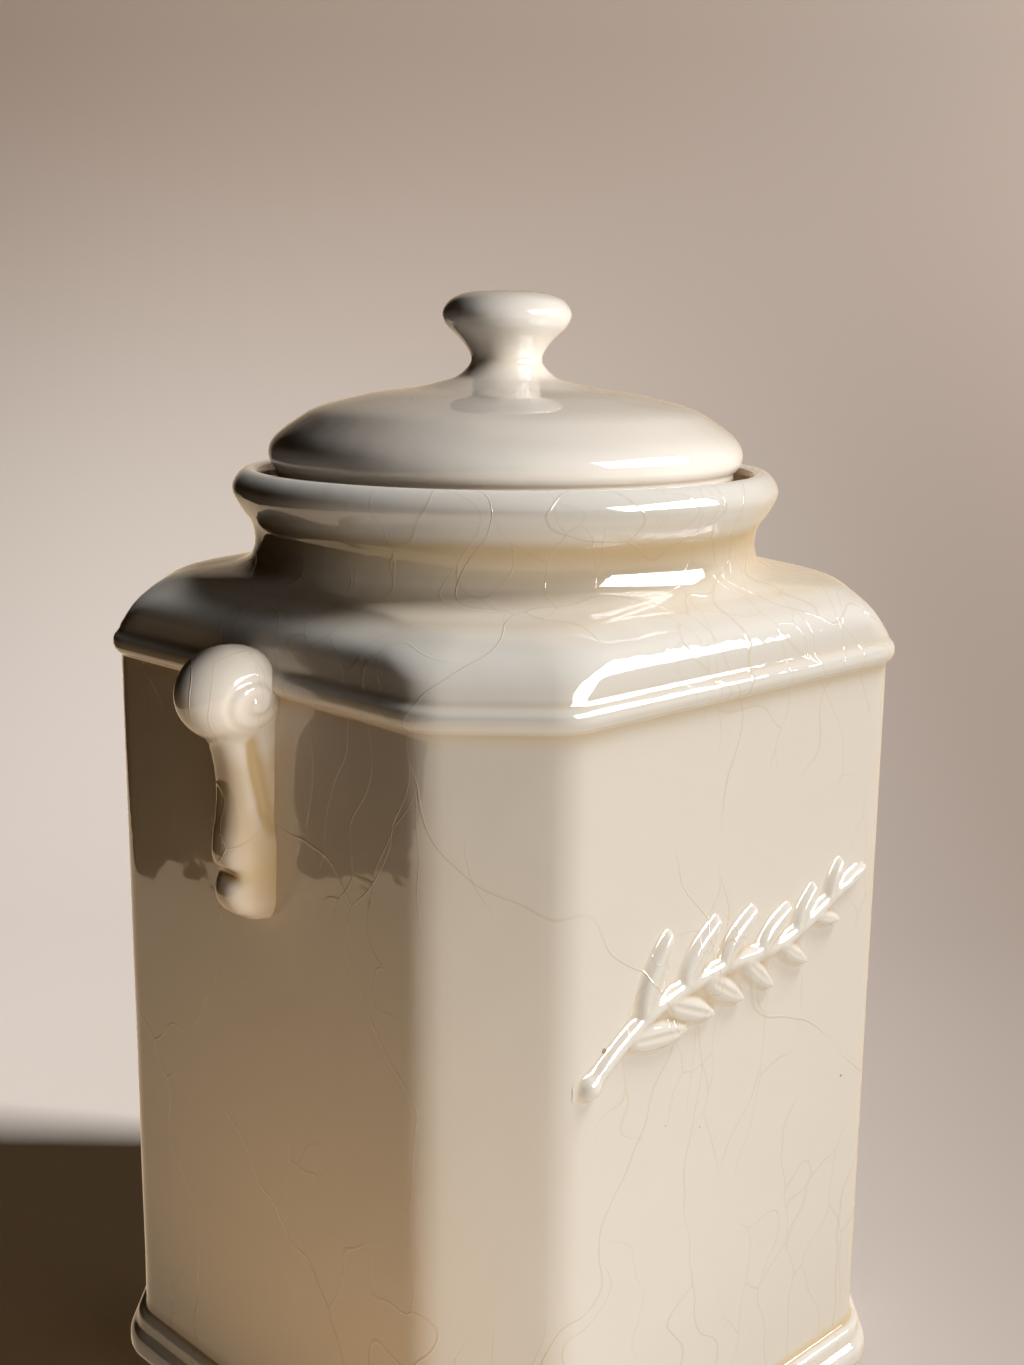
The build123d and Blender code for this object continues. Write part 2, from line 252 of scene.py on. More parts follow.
# Jar body: one surface made of rings of the same cut-cornered square, from the middle of the
# underside up the outside, over the rim and down the inside to the floor
jar = {
    "halfFlats": 76.8,
    "cornerCut": 21.3,
    "arrisRadius": 11.5,
    "leastArris": 2.0,
    "wall": 6.0,
    "innerFloor": 11.0,
    "floorCurve": 7.0,
    "footSpread": 4.4,
    "footTop": 7.4,
    "footRadius": 1.8,
    "footRing": 9.0,
    "footRecess": 3.0,
    "bareFoot": 1.1,  # height up to which the foot has no glaze
    "plinthRadius": 3.6,
    "plinthTurn": 63.6,  # degrees of round before the ridge rises from the plinth
    "ridgeSpread": 2.4,
    "ridgeTop": 10.9,
    "ridgeRadius": 1.6,
    "crease": 187.7,
    "beadSpread": 1.9,
    "beadUnder": 2.4,
    "beadOver": 2.6,
    "beadMiddle": 190.7,
    "beadStart": -78.0,  # degrees
    "ogeeRadius": 2.4,
    "ogeeTurn": 50.0,  # degrees that the bead turns in by before the shoulder turns it back up
    "ogeeEnd": 186.0,
    # height, half width at a wall, distance to a cut corner and roundness, up to the neck
    "shoulder": ((195.3, 76.78, 93.0, 0.28), (196.2, 76.66, 92.4, 0.31),
                 (197.9, 76.4, 91.3, 0.36), (199.7, 75.8, 90.0, 0.41), (201.2, 74.9, 88.6, 0.46),
                 (202.5, 73.6, 87.1, 0.51), (203.7, 71.7, 85.6, 0.55), (205.0, 69.1, 83.5, 0.60),
                 (205.8, 67.5, 81.8, 0.64), (206.4, 66.5, 80.0, 0.68), (206.95, 65.75, 77.7, 0.73),
                 (207.4, 65.3, 75.1, 0.78), (208.0, 64.75, 71.6, 0.84), (208.7, 64.1, 67.6, 0.91),
                 (209.5, 63.5, 64.7, 0.96), (210.3, 62.95, 63.3, 0.99), (211.3, 62.35, 62.45, 1.0),
                 (212.5, 61.9, 61.9, 1.0), (214.0, 61.45, 61.45, 1.0), (215.7, 61.3, 61.3, 1.0)),
    "fullness": 1.66,
    "innerShoulderBase": 190.9,
    "innerNeckBase": 205.0,
    "neckRadius": 61.3,
    "rimUnder": ((62.1, 220.0), (64.2, 223.0), (66.4, 228.4)),
    "rimTop": 232.6,
    "seatHeight": 228.2,
    "seatRadius": 59.7,
    "lipRadius": 2.6,
    "boreRadius": 53.6,
    # the seat's brown is dirt and painted shade, the dark of the gap under the lid
    "seatDirtAndShadeMargins": (0.3, 0.7, 0.6),  # of the seat's brown: inwards, outwards and down
    # the cove's honey brown is glaze gathered under the rim and painted shade under its overhang
    "coveHeight": 221.0,  # the glaze is honey brown in the cove under the rim
    "coveReach": 5.0,
    "coveGlazeAndShade": 0.38,
    "glazeSoftness": 0.28,
    "waveDepth": 0.22,
    "waveLength": 38.0,
    "waveSpan": (13.0, 221.0),
    "waveFades": (12.0, 8.0),
    "pointsPerEighth": 30,
    "arrisDensity": 2.6,
}


def grownPlan(spread):
    half = jar["halfFlats"] + spread
    cut = jar["cornerCut"] + spread * (2 - sqrt(2))
    return half, cut, max(jar["arrisRadius"] + spread, jar["leastArris"])


def roundPlan(radius):
    return radius, radius * (2 - sqrt(2)), radius


def sectionPlan(half, corner, roundness):
    # The plan that reaches half at a wall and corner at a cut corner.
    cut = 2 * half - sqrt(2) * corner
    return half, cut, roundness * cut / (2 - sqrt(2))


def innerShoulderPlan(share):
    half, cut, radius = grownPlan(-jar["wall"])
    spread = cos(share * pi / 2) ** (2 / jar["fullness"])
    rise = sin(share * pi / 2) ** (2 / jar["fullness"])
    end = jar["boreRadius"]
    flat = end + (half - end) * spread
    corner = end + ((2 * half - cut) / sqrt(2) - end) * spread
    roundness = radius * (2 - sqrt(2)) / cut
    return rise, sectionPlan(flat, corner, roundness + (1 - roundness) * rise)


def eighthOfPlan(half, cut, radius):
    # Points from the middle of a wall to the middle of a cut corner, closer round the arris.
    tangent = radius * (sqrt(2) - 1)
    wallRun, cornerRun = half - cut - tangent, cut / sqrt(2) - tangent
    bend = radius * pi / 4
    lengths = (max(wallRun, 0), bend * jar["arrisDensity"], max(cornerRun, 0))
    marks = np.linspace(0, sum(lengths), jar["pointsPerEighth"] + 1)
    points = []
    for mark in marks:
        if mark <= lengths[0]:
            points.append((half, mark))
        elif mark <= lengths[0] + lengths[1]:
            angle = (mark - lengths[0]) / lengths[1] * pi / 4
            points.append((half - radius + radius * cos(angle), lengths[0] + radius * sin(angle)))
        else:
            left = (sum(lengths) - mark) / sqrt(2)
            points.append((half - cut / 2 + left, half - cut / 2 - left))
    return np.array(points)


def planRing(half, cut, radius):
    eighth = eighthOfPlan(half, cut, radius)
    mirrored = eighth[-2:0:-1, ::-1]
    quarter = np.concatenate((eighth, mirrored))
    ring = []
    for c, s in ((1, 0), (0, 1), (-1, 0), (0, -1)):
        ring.append(np.stack((quarter[:, 0] * c - quarter[:, 1] * s,
                              quarter[:, 0] * s + quarter[:, 1] * c), 1))
    return np.concatenate(ring)


def station(plan, height):
    half, cut, radius = plan
    return half, height, cut, radius


def bodyStations():
    # Rows of half width, height, corner cut and arris radius, from the foot to the inner floor.
    foot, plinth, ridge = jar["footRadius"], jar["plinthRadius"], jar["ridgeRadius"]
    under, over, lip = jar["beadUnder"], jar["beadOver"], jar["lipRadius"]
    line = [(jar["footSpread"] - jar["footRing"], 0.0)]
    line += arc((jar["footSpread"] - foot, foot), foot, -90, 0)
    line += arc((jar["footSpread"] - plinth, jar["footTop"] - plinth), plinth, 0, jar["plinthTurn"])
    line += arc((jar["ridgeSpread"] - ridge, jar["ridgeTop"] - ridge), ridge, 0, 90)
    line += [(0.0, jar["ridgeTop"] + lineStep)]
    line += arc((jar["beadSpread"] - under, jar["crease"] + under), under, jar["beadStart"], 0)
    line += arc((jar["beadSpread"] - over, jar["beadMiddle"]), over, 0, jar["ogeeTurn"])
    turn, bend = radians(jar["ogeeTurn"]), jar["ogeeRadius"]
    centre = (jar["beadSpread"] - over + (over + bend) * cos(turn),
              jar["beadMiddle"] + (over + bend) * sin(turn))
    line += arc(centre, bend, 180 + jar["ogeeTurn"], jar["ogeeEnd"])[1:]
    stations = [station(grownPlan(spread), z) for spread, z in line]
    stations += [station(sectionPlan(*plan), z) for z, *plan in smoothTable(jar["shoulder"], 5)]
    crest = jar["seatRadius"] + lip
    rim = curveThrough([(jar["neckRadius"], jar["shoulder"][-1][0]), *jar["rimUnder"],
                        (crest, jar["rimTop"])], (0, 1), (-1, 0), 16)[1:]
    rim += arc((crest, jar["rimTop"] - lip), lip, 90, 180)
    rim += [(jar["seatRadius"], jar["seatHeight"]), (jar["boreRadius"], jar["seatHeight"])]
    rim += [(jar["boreRadius"], jar["innerNeckBase"] + 3.0)]
    stations += [station(roundPlan(radius), z) for radius, z in rim]
    height = jar["innerNeckBase"] - jar["innerShoulderBase"]
    for share in np.linspace(1, 0.03, 24):
        rise, plan = innerShoulderPlan(share)
        stations.append(station(plan, jar["innerShoulderBase"] + height * rise))
    curve = jar["floorCurve"]
    inner = arc((-jar["wall"] - curve, jar["innerFloor"] + curve), curve, 0, -90)
    return stations + [station(grownPlan(spread), z) for spread, z in inner]


bodyLine = softened(bodyStations(), lineStep, jar["glazeSoftness"])


def makeJarBody():
    poolsAndShade = hollowAlong(bodyLine, reach=3.0, full=1.0)
    halves, heights = bodyLine[:, 0], bodyLine[:, 1]
    order = np.arange(len(bodyLine))
    # browner band in the cove under the rim: gathered glaze and painted shade
    cove = np.exp(-(((heights - jar["coveHeight"]) / jar["coveReach"]) ** 2))
    poolsAndShade += jar["coveGlazeAndShade"] * cove * (order < heights.argmax())
    # dirt and painted shade on the seat, where the gap under the lid is dark
    inwards, outwards, down = jar["seatDirtAndShadeMargins"]
    seat = (halves > jar["boreRadius"] - inwards) & (halves < jar["seatRadius"] + outwards)
    poolsAndShade[seat & (heights > jar["seatHeight"] - down)] = glazeMarks["seatDirtAndShade"]
    clay = glazeMarks["clay"]
    poolsAndShade[(heights < jar["bareFoot"]) & (order < len(order) / 2)] = clay
    rows = np.column_stack((bodyLine, poolsAndShade))
    rows = thinned(rows, finest=0.4, widest=3.0, bend=radians(3))
    # rows that run in towards the middle, under the foot and on the floor inside
    shares = (0.15, 0.5, 0.9)
    half, cut, radius = grownPlan(jar["footSpread"] - jar["footRing"])
    below = [(half * k, jar["footRecess"], cut * k, radius * k, clay) for k in shares]
    below += [(half - 1.2, jar["footRecess"] - 0.3, cut, radius, clay)]
    below += [(half - 0.3, 1.2, cut, radius, clay)]
    half, height, cut, radius = rows[-1][:4]
    above = [(half * k, height, cut * k, radius * k, 0) for k in reversed(shares)]
    rows = np.concatenate((below, rows, above))
    around = 8 * jar["pointsPerEighth"]
    points = []
    for half, height, cut, radius, _ in rows:
        ring = planRing(half, cut, radius)
        points.append(np.column_stack((ring, np.full(len(ring), height))))
    points = np.concatenate(points)
    # slight waves of a cast wall, always inwards so that the jar keeps its size
    start, end = jar["waveSpan"]
    fadeIn, fadeOut = jar["waveFades"]
    for index in np.nonzero((points[:, 2] > start) & (points[:, 2] < end))[0]:
        x, y, z = points[index]
        away = noise.noise(Vector((x, y, z)) / jar["waveLength"])
        fade = min(1, (z - start) / fadeIn, (end - z) / fadeOut)
        push = jar["waveDepth"] * (away - 1) * 0.5 * fade
        points[index, :2] += push * np.array((x, y)) / sqrt(x * x + y * y)
    points = np.concatenate((points, [(0, 0, jar["footRecess"]), (0, 0, jar["innerFloor"])]))
    faces = cappedFaces(len(rows), around)
    piece = makePiece("jarBody", points, faces, "jar", ["jar_body"])
    writeValues(piece, "poolAndShade", np.concatenate((np.repeat(rows[:, 4], around), (clay, 0))))
    return piece


jarBody = makeJarBody()
print("jar body made:", len(jarBody.data.vertices), "points")


# Lid: the dome and its knob are one turned form, over the locating flange
lid = {
    "seat": 228.2,
    "radius": 57.9,
    "edge": 236.2,
    "brow": (49.9, 244.8),
    "slope": (35.3, 249.7),
    "knob": ((17.5, 252.7), (11.4, 254.9), (8.7, 258.6), (9.9, 261.3), (12.2, 263.9), (14.9, 266.5),
             (15.9, 269.1), (14.3, 272.1), (11.2, 273.8), (6.0, 274.6)),
    "top": 274.7,
    "heel": 55.8,
    "heelHeight": 4.2,
    # below the heel's top the lid gets the seat's dirt and the painted shade of the gap
    "heelClean": 1.0,  # height at the heel's top that stays free of the stain
    "innerRadius": 47.8,
    "innerTop": 247.2,
    "flangeRadius": 52.4,
    "flangeDepth": 10.0,
    "flangeRise": 0.3,  # how far it reaches up into the dome
    "flangeBevel": 1.5,
    "softness": 0.5,
    "wobble": 0.1,
    "pointsAround": 200,
}


def turned(line, around, wobble):
    # Spins a line of radius and height about the upright axis, slightly out of true, inwards.
    angles = np.linspace(0, 2 * pi, around, endpoint=False)
    sway = wobble * (np.sin(2 * angles + 0.7) + 0.5 * np.sin(3 * angles + 2.1) - 1.5)
    points = []
    for radius, height in line:
        reach = radius + sway * min(1, radius / 12)
        points.append(np.column_stack((reach * np.cos(angles), reach * np.sin(angles),
                                       np.full(around, height))))
    return np.concatenate(points)


def makeLid():
    # from the middle of the hollow underside out to the heel, round the edge and up to the knob
    heelTop = lid["seat"] + lid["heelHeight"]
    line = curveThrough([(0.0, lid["innerTop"]), (lid["innerRadius"], heelTop)],
                        (1, 0), (0.3, -1), 40)
    line += [(lid["innerRadius"], lid["seat"]), (lid["heel"], lid["seat"])]
    line += curveThrough([(lid["heel"], heelTop), (lid["radius"], lid["edge"])],
                         (1, 0.05), (0, 1), 12)
    line += curveThrough([(lid["radius"], lid["edge"]), lid["brow"], lid["slope"], *lid["knob"],
                          (0.0, lid["top"])], (0, 1), (-1, 0), 16)[1:]
    rows = softened(line, lineStep, lid["softness"])
    poolsAndShade = hollowAlong(rows, reach=3.0, full=3.5)
    # the heel's underside, in the gap, gets dirt and painted shade
    heel = (rows[:, 1] < heelTop - lid["heelClean"]) & (rows[:, 0] > lid["innerRadius"])
    poolsAndShade[heel] = glazeMarks["seatDirtAndShade"]
    rows = np.column_stack((rows, poolsAndShade))
    rows = thinned(rows, finest=0.4, widest=2.5, bend=radians(4))
    rows[0, 0] = rows[-1, 0] = 0
    around = lid["pointsAround"]
    points = turned(rows[1:-1, :2], around, lid["wobble"])
    points = np.concatenate((points, [(0, 0, rows[0, 1]), (0, 0, rows[-1, 1])]))
    faces = cappedFaces(len(rows) - 2, around)
    piece = makePiece("lidDome", points, faces, "lid", ["lid_dome", "lid_knob"])
    writeValues(piece, "poolAndShade", np.concatenate((np.repeat(rows[1:-1, 2], around), (0, 0))))
    return piece


def makeFlange():
    outer, inner, bevel = lid["flangeRadius"], lid["innerRadius"], lid["flangeBevel"]
    high, low = lid["seat"] + lid["flangeRise"], lid["seat"] - lid["flangeDepth"]
    line = [(outer, high), (inner, high), (inner, low + bevel), (inner + bevel, low)]
    line += [(outer - bevel, low), (outer, low + bevel), (outer, high)]
    rows = softened(line, step=0.25, spread=0.35)
    rows = thinned(rows, finest=0.4, widest=3.0, bend=radians(8))[:-1]
    points = turned(rows, lid["pointsAround"], 0)
    faces = ringFaces(len(rows), lid["pointsAround"], closed=True)
    piece = makePiece("lidFlange", points, faces, "lid", ["lid_flange"])
    writeValues(piece, "poolAndShade", np.zeros(len(points)))
    return piece


lidDome = makeLid()
lidFlange = makeFlange()
print("lid made:", len(lidDome.data.vertices), "points")


# Trim modelled as smooth forms: a distance in millimetres that is negative inside
def joined(first, second, blend):
    # Two forms run into each other over the width of blend, as slip does at a joint.
    share = np.clip(0.5 + 0.5 * (second - first) / blend, 0, 1)
    return second + (first - second) * share - blend * share * (1 - share)


def eased(value):
    value = np.clip(value, 0, 1)
    return value * value * (3 - 2 * value)


def grown(value, change):
    # From 0 to 1 as the value passes a start over a width.
    start, width = change
    return eased((value - start) / width)


def ellipsoid(points, centre, radii):
    near = (points - centre) / radii
    length = np.linalg.norm(near, axis=1) + tiny
    return length * (length - 1) / (np.linalg.norm(near / radii, axis=1) + tiny)


def wrapped(distance, low, high, step):
    # Wraps a net of quads round the zero level of a distance.
    axes = [np.arange(a, b + step, step) for a, b in zip(low, high)]
    grid = np.stack(np.meshgrid(*axes, indexing="ij"), -1)
    field = distance(grid.reshape(-1, 3)).reshape(grid.shape[:3])
    cells = tuple(n - 1 for n in field.shape)
    total, hits = np.zeros(cells + (3,)), np.zeros(cells)
    lower, upper = slice(0, -1), slice(1, None)
    crossings = []
    for axis in range(3):
        start, end = [slice(None)] * 3, [slice(None)] * 3
        start[axis], end[axis] = lower, upper
        first, second = field[tuple(start)], field[tuple(end)]
        cross = (first < 0) != (second < 0)
        share = np.where(cross, first / np.where(cross, first - second, 1), 0)
        place = grid[tuple(start)].copy()
        place[..., axis] += share * step
        place[~cross] = 0
        others = [k for k in range(3) if k != axis]
        for one in (lower, upper):
            for two in (lower, upper):
                part = [slice(None)] * 3
                part[others[0]], part[others[1]] = one, two
                total += place[tuple(part)]
                hits += cross[tuple(part)]
        crossings.append((axis, others, cross, first < 0))
    used = hits > 0
    number = np.full(cells, -1)
    number[used] = np.arange(used.sum())
    points = total[used] / hits[used][:, None]
    faces = []
    for axis, others, cross, inward in crossings:
        where = np.argwhere(cross)
        keep = np.all((where[:, others] > 0)
                      & (where[:, others] < np.array(cells)[others]), axis=1)
        where = where[keep]
        corners = []
        for backOne, backTwo in ((1, 1), (0, 1), (0, 0), (1, 0)):
            cell = where.copy()
            cell[:, others[0]] -= backOne
            cell[:, others[1]] -= backTwo
            corners.append(number[tuple(cell.T)])
        quads = np.stack(corners, 1)
        flip = inward[tuple(where.T)] == (axis == 1)
        quads[flip] = quads[flip][:, ::-1]
        faces.append(quads)
    faces = np.concatenate(faces)
    # pulls the points onto the surface itself
    probe, flattest = 0.05, 0.2
    for _ in range(3):
        off = distance(points)
        slope = np.stack([distance(points + side * probe) - off for side in np.eye(3)], 1) / probe
        points = points - slope * (off / np.maximum((slope**2).sum(1), flattest))[:, None]
    return points, faces


def trimmed(points, faces, keep):
    # Drops the faces whose points are all let go, and the points that no face needs.
    faces = faces[keep[faces].all(1)]
    used = np.unique(faces)
    number = np.full(len(points), -1)
    number[used] = np.arange(len(used))
    return points[used], number[faces]


wallLine = bodyLine[(bodyLine[:, 0] > jar["neckRadius"]) & (bodyLine[:, 1] > jar["ridgeTop"] + 2)
                    & (bodyLine[:, 1] < jar["shoulder"][-1][0])]


def aboveWall(points):
    # Distance of points in front of a wall's middle: away from the wall, across and up.
    steepest = 4
    halves, heights = wallLine[:, 0], wallLine[:, 1]
    spread = np.interp(points[:, 2], heights, halves) - jar["halfFlats"]
    slope = np.interp(points[:, 2], heights, np.gradient(halves, heights))
    return (points[:, 0] - spread) / np.sqrt(1 + np.clip(slope, -steepest, steepest) ** 2)


# Scroll lug: a ball with a spiral on each side, a waisted stem with a lip, and a rounded toe
lug = {
    "box": ((-2.4, -18.0, 128.0), (21.5, 18.0, 206.0)),  # that the net is wrapped in
    "step": 0.55,
    "ballCentre": (6.2, 0.0, 187.7),
    "ballRadii": (12.6, 10.8, 10.7),
    "spiralPitch": 4.0,
    "spiralWidth": 1.0,
    "spiralDepth": 0.55,
    "spiralNarrow": 0.84,
    "spiralDrop": 0.8,
    "spiralStart": (0.4, 1.2),  # where it begins and over what distance it deepens
    "spiralEnd": (7.0, 2.5),
    "spiralSide": (4.0, 3.0),
    # height, how far the stem stands out from the wall and half its width
    "stem": ((135.0, 3.0, 2.4), (136.5, 5.2, 4.2), (138.0, 7.6, 5.2), (140.0, 9.2, 5.9),
             (142.2, 9.9, 6.1), (144.4, 9.6, 6.2), (146.2, 8.9, 6.3), (148.0, 9.2, 6.4),
             (149.6, 10.0, 6.5), (151.4, 10.4, 6.6), (154.5, 10.2, 6.6), (160.0, 9.2, 6.5),
             (167.0, 8.8, 6.4), (174.0, 9.8, 6.6), (181.0, 12.0, 7.0), (188.0, 12.0, 7.0)),
    "squareness": 2.7,
    "toeCut": 1.2,
    "notchCentre": (12.4, 0.0, 147.2),  # between the lip and the toe
    "notchRadii": (4.6, 9.0, 1.5),
    "notchBlend": 1.6,
    # a slanting hollow on each side of the stem: a point of it, then where it starts and ends
    "hollowAt": (1.5, 160.0),
    "hollowSpan": (154.0, 184.0),
    "hollowFade": 8.0,
    "hollowSlant": 0.20,
    "hollowWidth": 1.8,
    "hollowDepth": 1.5,
    "joint": 1.8,
    "slip": 10.0,
    "slipLess": 3.5,  # beside the ball
    "slipChange": (178.0, 6.0),
    "edgeSink": (0.35, 0.7),  # how deep the edge dips into the wall, and from what height
    # painted shade: the stem is coloured browner than the ball, as it gets less light
    "stemShade": 0.75,  # more of the glaze's brown on the stem than on the ball
    "stemChange": (182.0, 12.0),
    # painted shade on the slip beside the wall, so the lug darkens into the wall's shade
    "rootShade": 0.9,  # and on the slip beside the wall
    "rootChange": (0.5, 4.5),
}


def stemDistance(points):
    # A rounded bar of changing width, with a notch under its lip and a slanting hollow each side.
    out, across, height = points.T
    table = np.array(smoothTable(lug["stem"], 6))
    reach, half = (np.interp(height, table[:, 0], table[:, k]) for k in (1, 2))
    (low, high), fade, (outAt, heightAt) = lug["hollowSpan"], lug["hollowFade"], lug["hollowAt"]
    along = np.abs(out - outAt - (height - heightAt) * lug["hollowSlant"])
    hollow = np.exp(-((along / lug["hollowWidth"]) ** 2)) * eased((height - low) / fade)
    half = half - lug["hollowDepth"] * (hollow * eased((high - height) / fade))
    power, flattest = lug["squareness"], 0.06
    wide, far = np.abs(across) / half, np.maximum(out, 0) / reach
    size = (wide**power + far**power + tiny) ** (1 / power)
    steep = np.hypot(wide ** (power - 1) / half, far ** (power - 1) / reach) / size ** (power - 1)
    body = (size - 1) / np.maximum(steep, flattest)
    body = np.maximum(body, lug["stem"][0][0] + lug["toeCut"] - height)
    body = np.maximum(body, height - lug["stem"][-1][0])
    notch = ellipsoid(points, lug["notchCentre"], lug["notchRadii"])
    return -joined(-body, notch, lug["notchBlend"])


def lugDistance(points):
    out, across, height = points.T
    # ball, with a groove that winds in on each side
    ball = ellipsoid(points, lug["ballCentre"], lug["ballRadii"])
    along = (out - lug["ballCentre"][0]) * lug["spiralNarrow"]
    rise = height - lug["ballCentre"][2] + lug["spiralDrop"]
    reach = np.hypot(along, rise)
    turn = np.arctan2(rise, -along) / (2 * pi)
    phase = (reach / lug["spiralPitch"] - turn) % 1.0
    groove = np.minimum(phase, 1 - phase) * lug["spiralPitch"] / lug["spiralWidth"]
    groove = np.exp(-groove**2) * grown(reach, lug["spiralStart"])
    end, fade = lug["spiralEnd"]
    groove *= eased((end - reach) / fade) * grown(np.abs(across), lug["spiralSide"])
    ball += lug["spiralDepth"] * groove
    form = joined(stemDistance(points), ball, lug["joint"])
    slip = lug["slip"] - lug["slipLess"] * grown(height, lug["slipChange"])
    return joined(form, aboveWall(points), slip)


def makeLugs():
    points, faces = wrapped(lugDistance, *lug["box"], lug["step"])
    points, faces = trimmed(points, faces, aboveWall(points) > 0.05)
    lift = aboveWall(points)
    depth, width = lug["edgeSink"]
    points[:, 0] -= depth * (1 - eased(lift / width))
    # painted shade, browner on the stem under the ball and on the slip next to the wall
    top, fade = lug["stemChange"]
    paintedLugShade = lug["stemShade"] * eased((top - points[:, 2]) / fade)
    paintedLugShade += lug["rootShade"] * (1 - grown(lift, lug["rootChange"]))
    made = []
    for name, node, facing in (("lugLeft", "lug_left", -1), ("lugRight", "lug_right", 1)):
        placed = np.column_stack((facing * (points[:, 0] + jar["halfFlats"]), points[:, 1:]))
        ordered = faces if facing > 0 else faces[:, ::-1]
        made.append(makePiece(name, placed, ordered.tolist(), "jar", [node]))
        markPoolsAndShade(made[-1], reach=1.8, full=0.45, paintedShade=paintedLugShade)
    return made


lugLeft, lugRight = makeLugs()
print("lugs made:", len(lugLeft.data.vertices), "points each")


# Raised leaf sprig on the front, softened by the glaze over it
sprig = {
    "height": 127.0,
    "stem": ((-49.0, -16.0), (-29.9, -4.7), (-8.0, -1.0), (17.2, -0.4), (41.0, 8.0)),
    "stemRadius": 2.2,
    "stemSink": 0.35,
    "relief": 2.4,
    "leafLength": 22.0,
    "leafWidth": 7.2,
    "leafSink": 0.3,
    "rootFade": 0.12,
    "tipFade": 0.1,
    "veinDepth": 0.6,
    "veinWidth": 0.5,
    "veinFade": 0.2,
    "leafPairs": 6,
    "leafSpread": 38.0,
    "stagger": 0.03,
    "firstLeaf": 0.16,
    "lastLeaf": 0.88,
    "tipLeaf": 0.97,
    "tipScale": 0.55,
    "budRadius": 3.0,
    "budSink": 0.6,
    "blend": 0.9,  # between leaves, stem and bud
    "glazeSoftness": 0.35,
    "slip": (0.6, 1.5),  # share of the height that spreads over the wall, and how far
    "edgeSink": (0.4, 0.7),
    "least": 0.04,  # height under which it is trimmed away
    "step": 0.42,
    "across": (-57, 58),  # what the net covers
    "up": (-27, 27),
}


def makeSprig():
    step = sprig["step"]
    line = np.array(curveThrough(sprig["stem"], (0.8, 0.6), (0.95, 0.3), 30))
    along = np.concatenate(([0], np.cumsum(np.linalg.norm(np.diff(line, axis=0), axis=1))))
    along /= along[-1]

    def onStem(share):
        # Place and direction at a share of the stem's length.
        place, ahead, back = (np.array([np.interp(at, along, column) for column in line.T])
                              for at in (share, share + 0.01, share - 0.01))
        return place, (ahead - back) / np.linalg.norm(ahead - back)

    wide, high = np.meshgrid(np.arange(*sprig["across"], step), np.arange(*sprig["up"], step),
                             indexing="ij")
    spots = np.stack((wide, high), -1)
    height = np.full(wide.shape, -1.0)

    def addForm(inside, form, sink):
        # Blends a form into the relief; outside its outline it lies far below the wall.
        nonlocal height
        form = np.where(inside, form - sink, -9)
        blend = sprig["blend"]
        share = np.clip(0.5 + 0.5 * (form - height) / blend, 0, 1)
        height = height + (form - height) * share + blend * share * (1 - share)

    gaps = [np.hypot(*(spots - place).transpose(2, 0, 1)) for place in line]
    nearest = np.min(gaps, axis=0)
    radius = sprig["stemRadius"]
    addForm(nearest < radius, np.sqrt(np.clip(radius**2 - nearest**2, 0, None)),
            sprig["stemSink"])

    def leafAt(place, ahead, size):
        run = (spots - place) @ ahead / (sprig["leafLength"] * size)
        off = (spots - place) @ np.array((-ahead[1], ahead[0]))
        inside = np.clip(run, 0, 1)
        half = sprig["leafWidth"] * size / 2 * np.sin(pi * inside**0.85) ** 0.8 + 1e-3
        body = sprig["relief"] * np.sqrt(np.clip(1 - (off / half) ** 2, 0, 1))
        body *= eased(inside / sprig["rootFade"]) * eased((1 - inside) / sprig["tipFade"])
        vein = sprig["veinDepth"] * np.exp(-((off / (sprig["veinWidth"] * size)) ** 2))
        vein *= eased(inside / sprig["veinFade"])
        addForm(body > 0.05, body - vein * eased(body), sprig["leafSink"])

    bud = np.sqrt(np.clip(sprig["budRadius"]**2 - gaps[0]**2, 0, None))
    addForm(bud > 0, bud, sprig["budSink"])
    for number in range(sprig["leafPairs"]):
        share = number / (sprig["leafPairs"] - 1)
        size = 1 + (sprig["tipScale"] - 1) * share
        for side in (-1, 1):
            at = sprig["firstLeaf"] + (sprig["lastLeaf"] - sprig["firstLeaf"]) * share
            at += side * sprig["stagger"]
            place, ahead = onStem(at)
            angle = radians(side * sprig["leafSpread"])
            turnedAhead = np.array((ahead[0] * cos(angle) - ahead[1] * sin(angle),
                                    ahead[0] * sin(angle) + ahead[1] * cos(angle)))
            leafAt(place, turnedAhead, size)
    leafAt(*onStem(sprig["tipLeaf"]), sprig["tipScale"])

    def blurred(field, spread):
        for axis in (0, 1):
            field = np.apply_along_axis(np.convolve, axis, field, bellWeights(step, spread), "same")
        return field

    share, spread = sprig["slip"]
    depth, width = sprig["edgeSink"]
    height = blurred(np.clip(height, 0, sprig["relief"]), sprig["glazeSoftness"])
    height = np.minimum(np.maximum(height, share * blurred(height, spread)), sprig["relief"])
    lift = height - depth * (1 - eased(height / width))
    points = np.stack((wide, -jar["halfFlats"] - lift, high + sprig["height"]), -1).reshape(-1, 3)
    index = np.arange(wide.size).reshape(wide.shape)
    faces = np.stack((index[:-1, :-1], index[1:, :-1], index[1:, 1:], index[:-1, 1:]),
                     -1).reshape(-1, 4)
    points, faces = trimmed(points, faces, height.ravel() > sprig["least"])
    piece = makePiece("leafSprig", points, faces.tolist(), "jar", ["front_relief"])
    markPoolsAndShade(piece, reach=1.2, full=0.30)
    return piece


leafSprig = makeSprig()
print("sprig made:", len(leafSprig.data.vertices), "points")


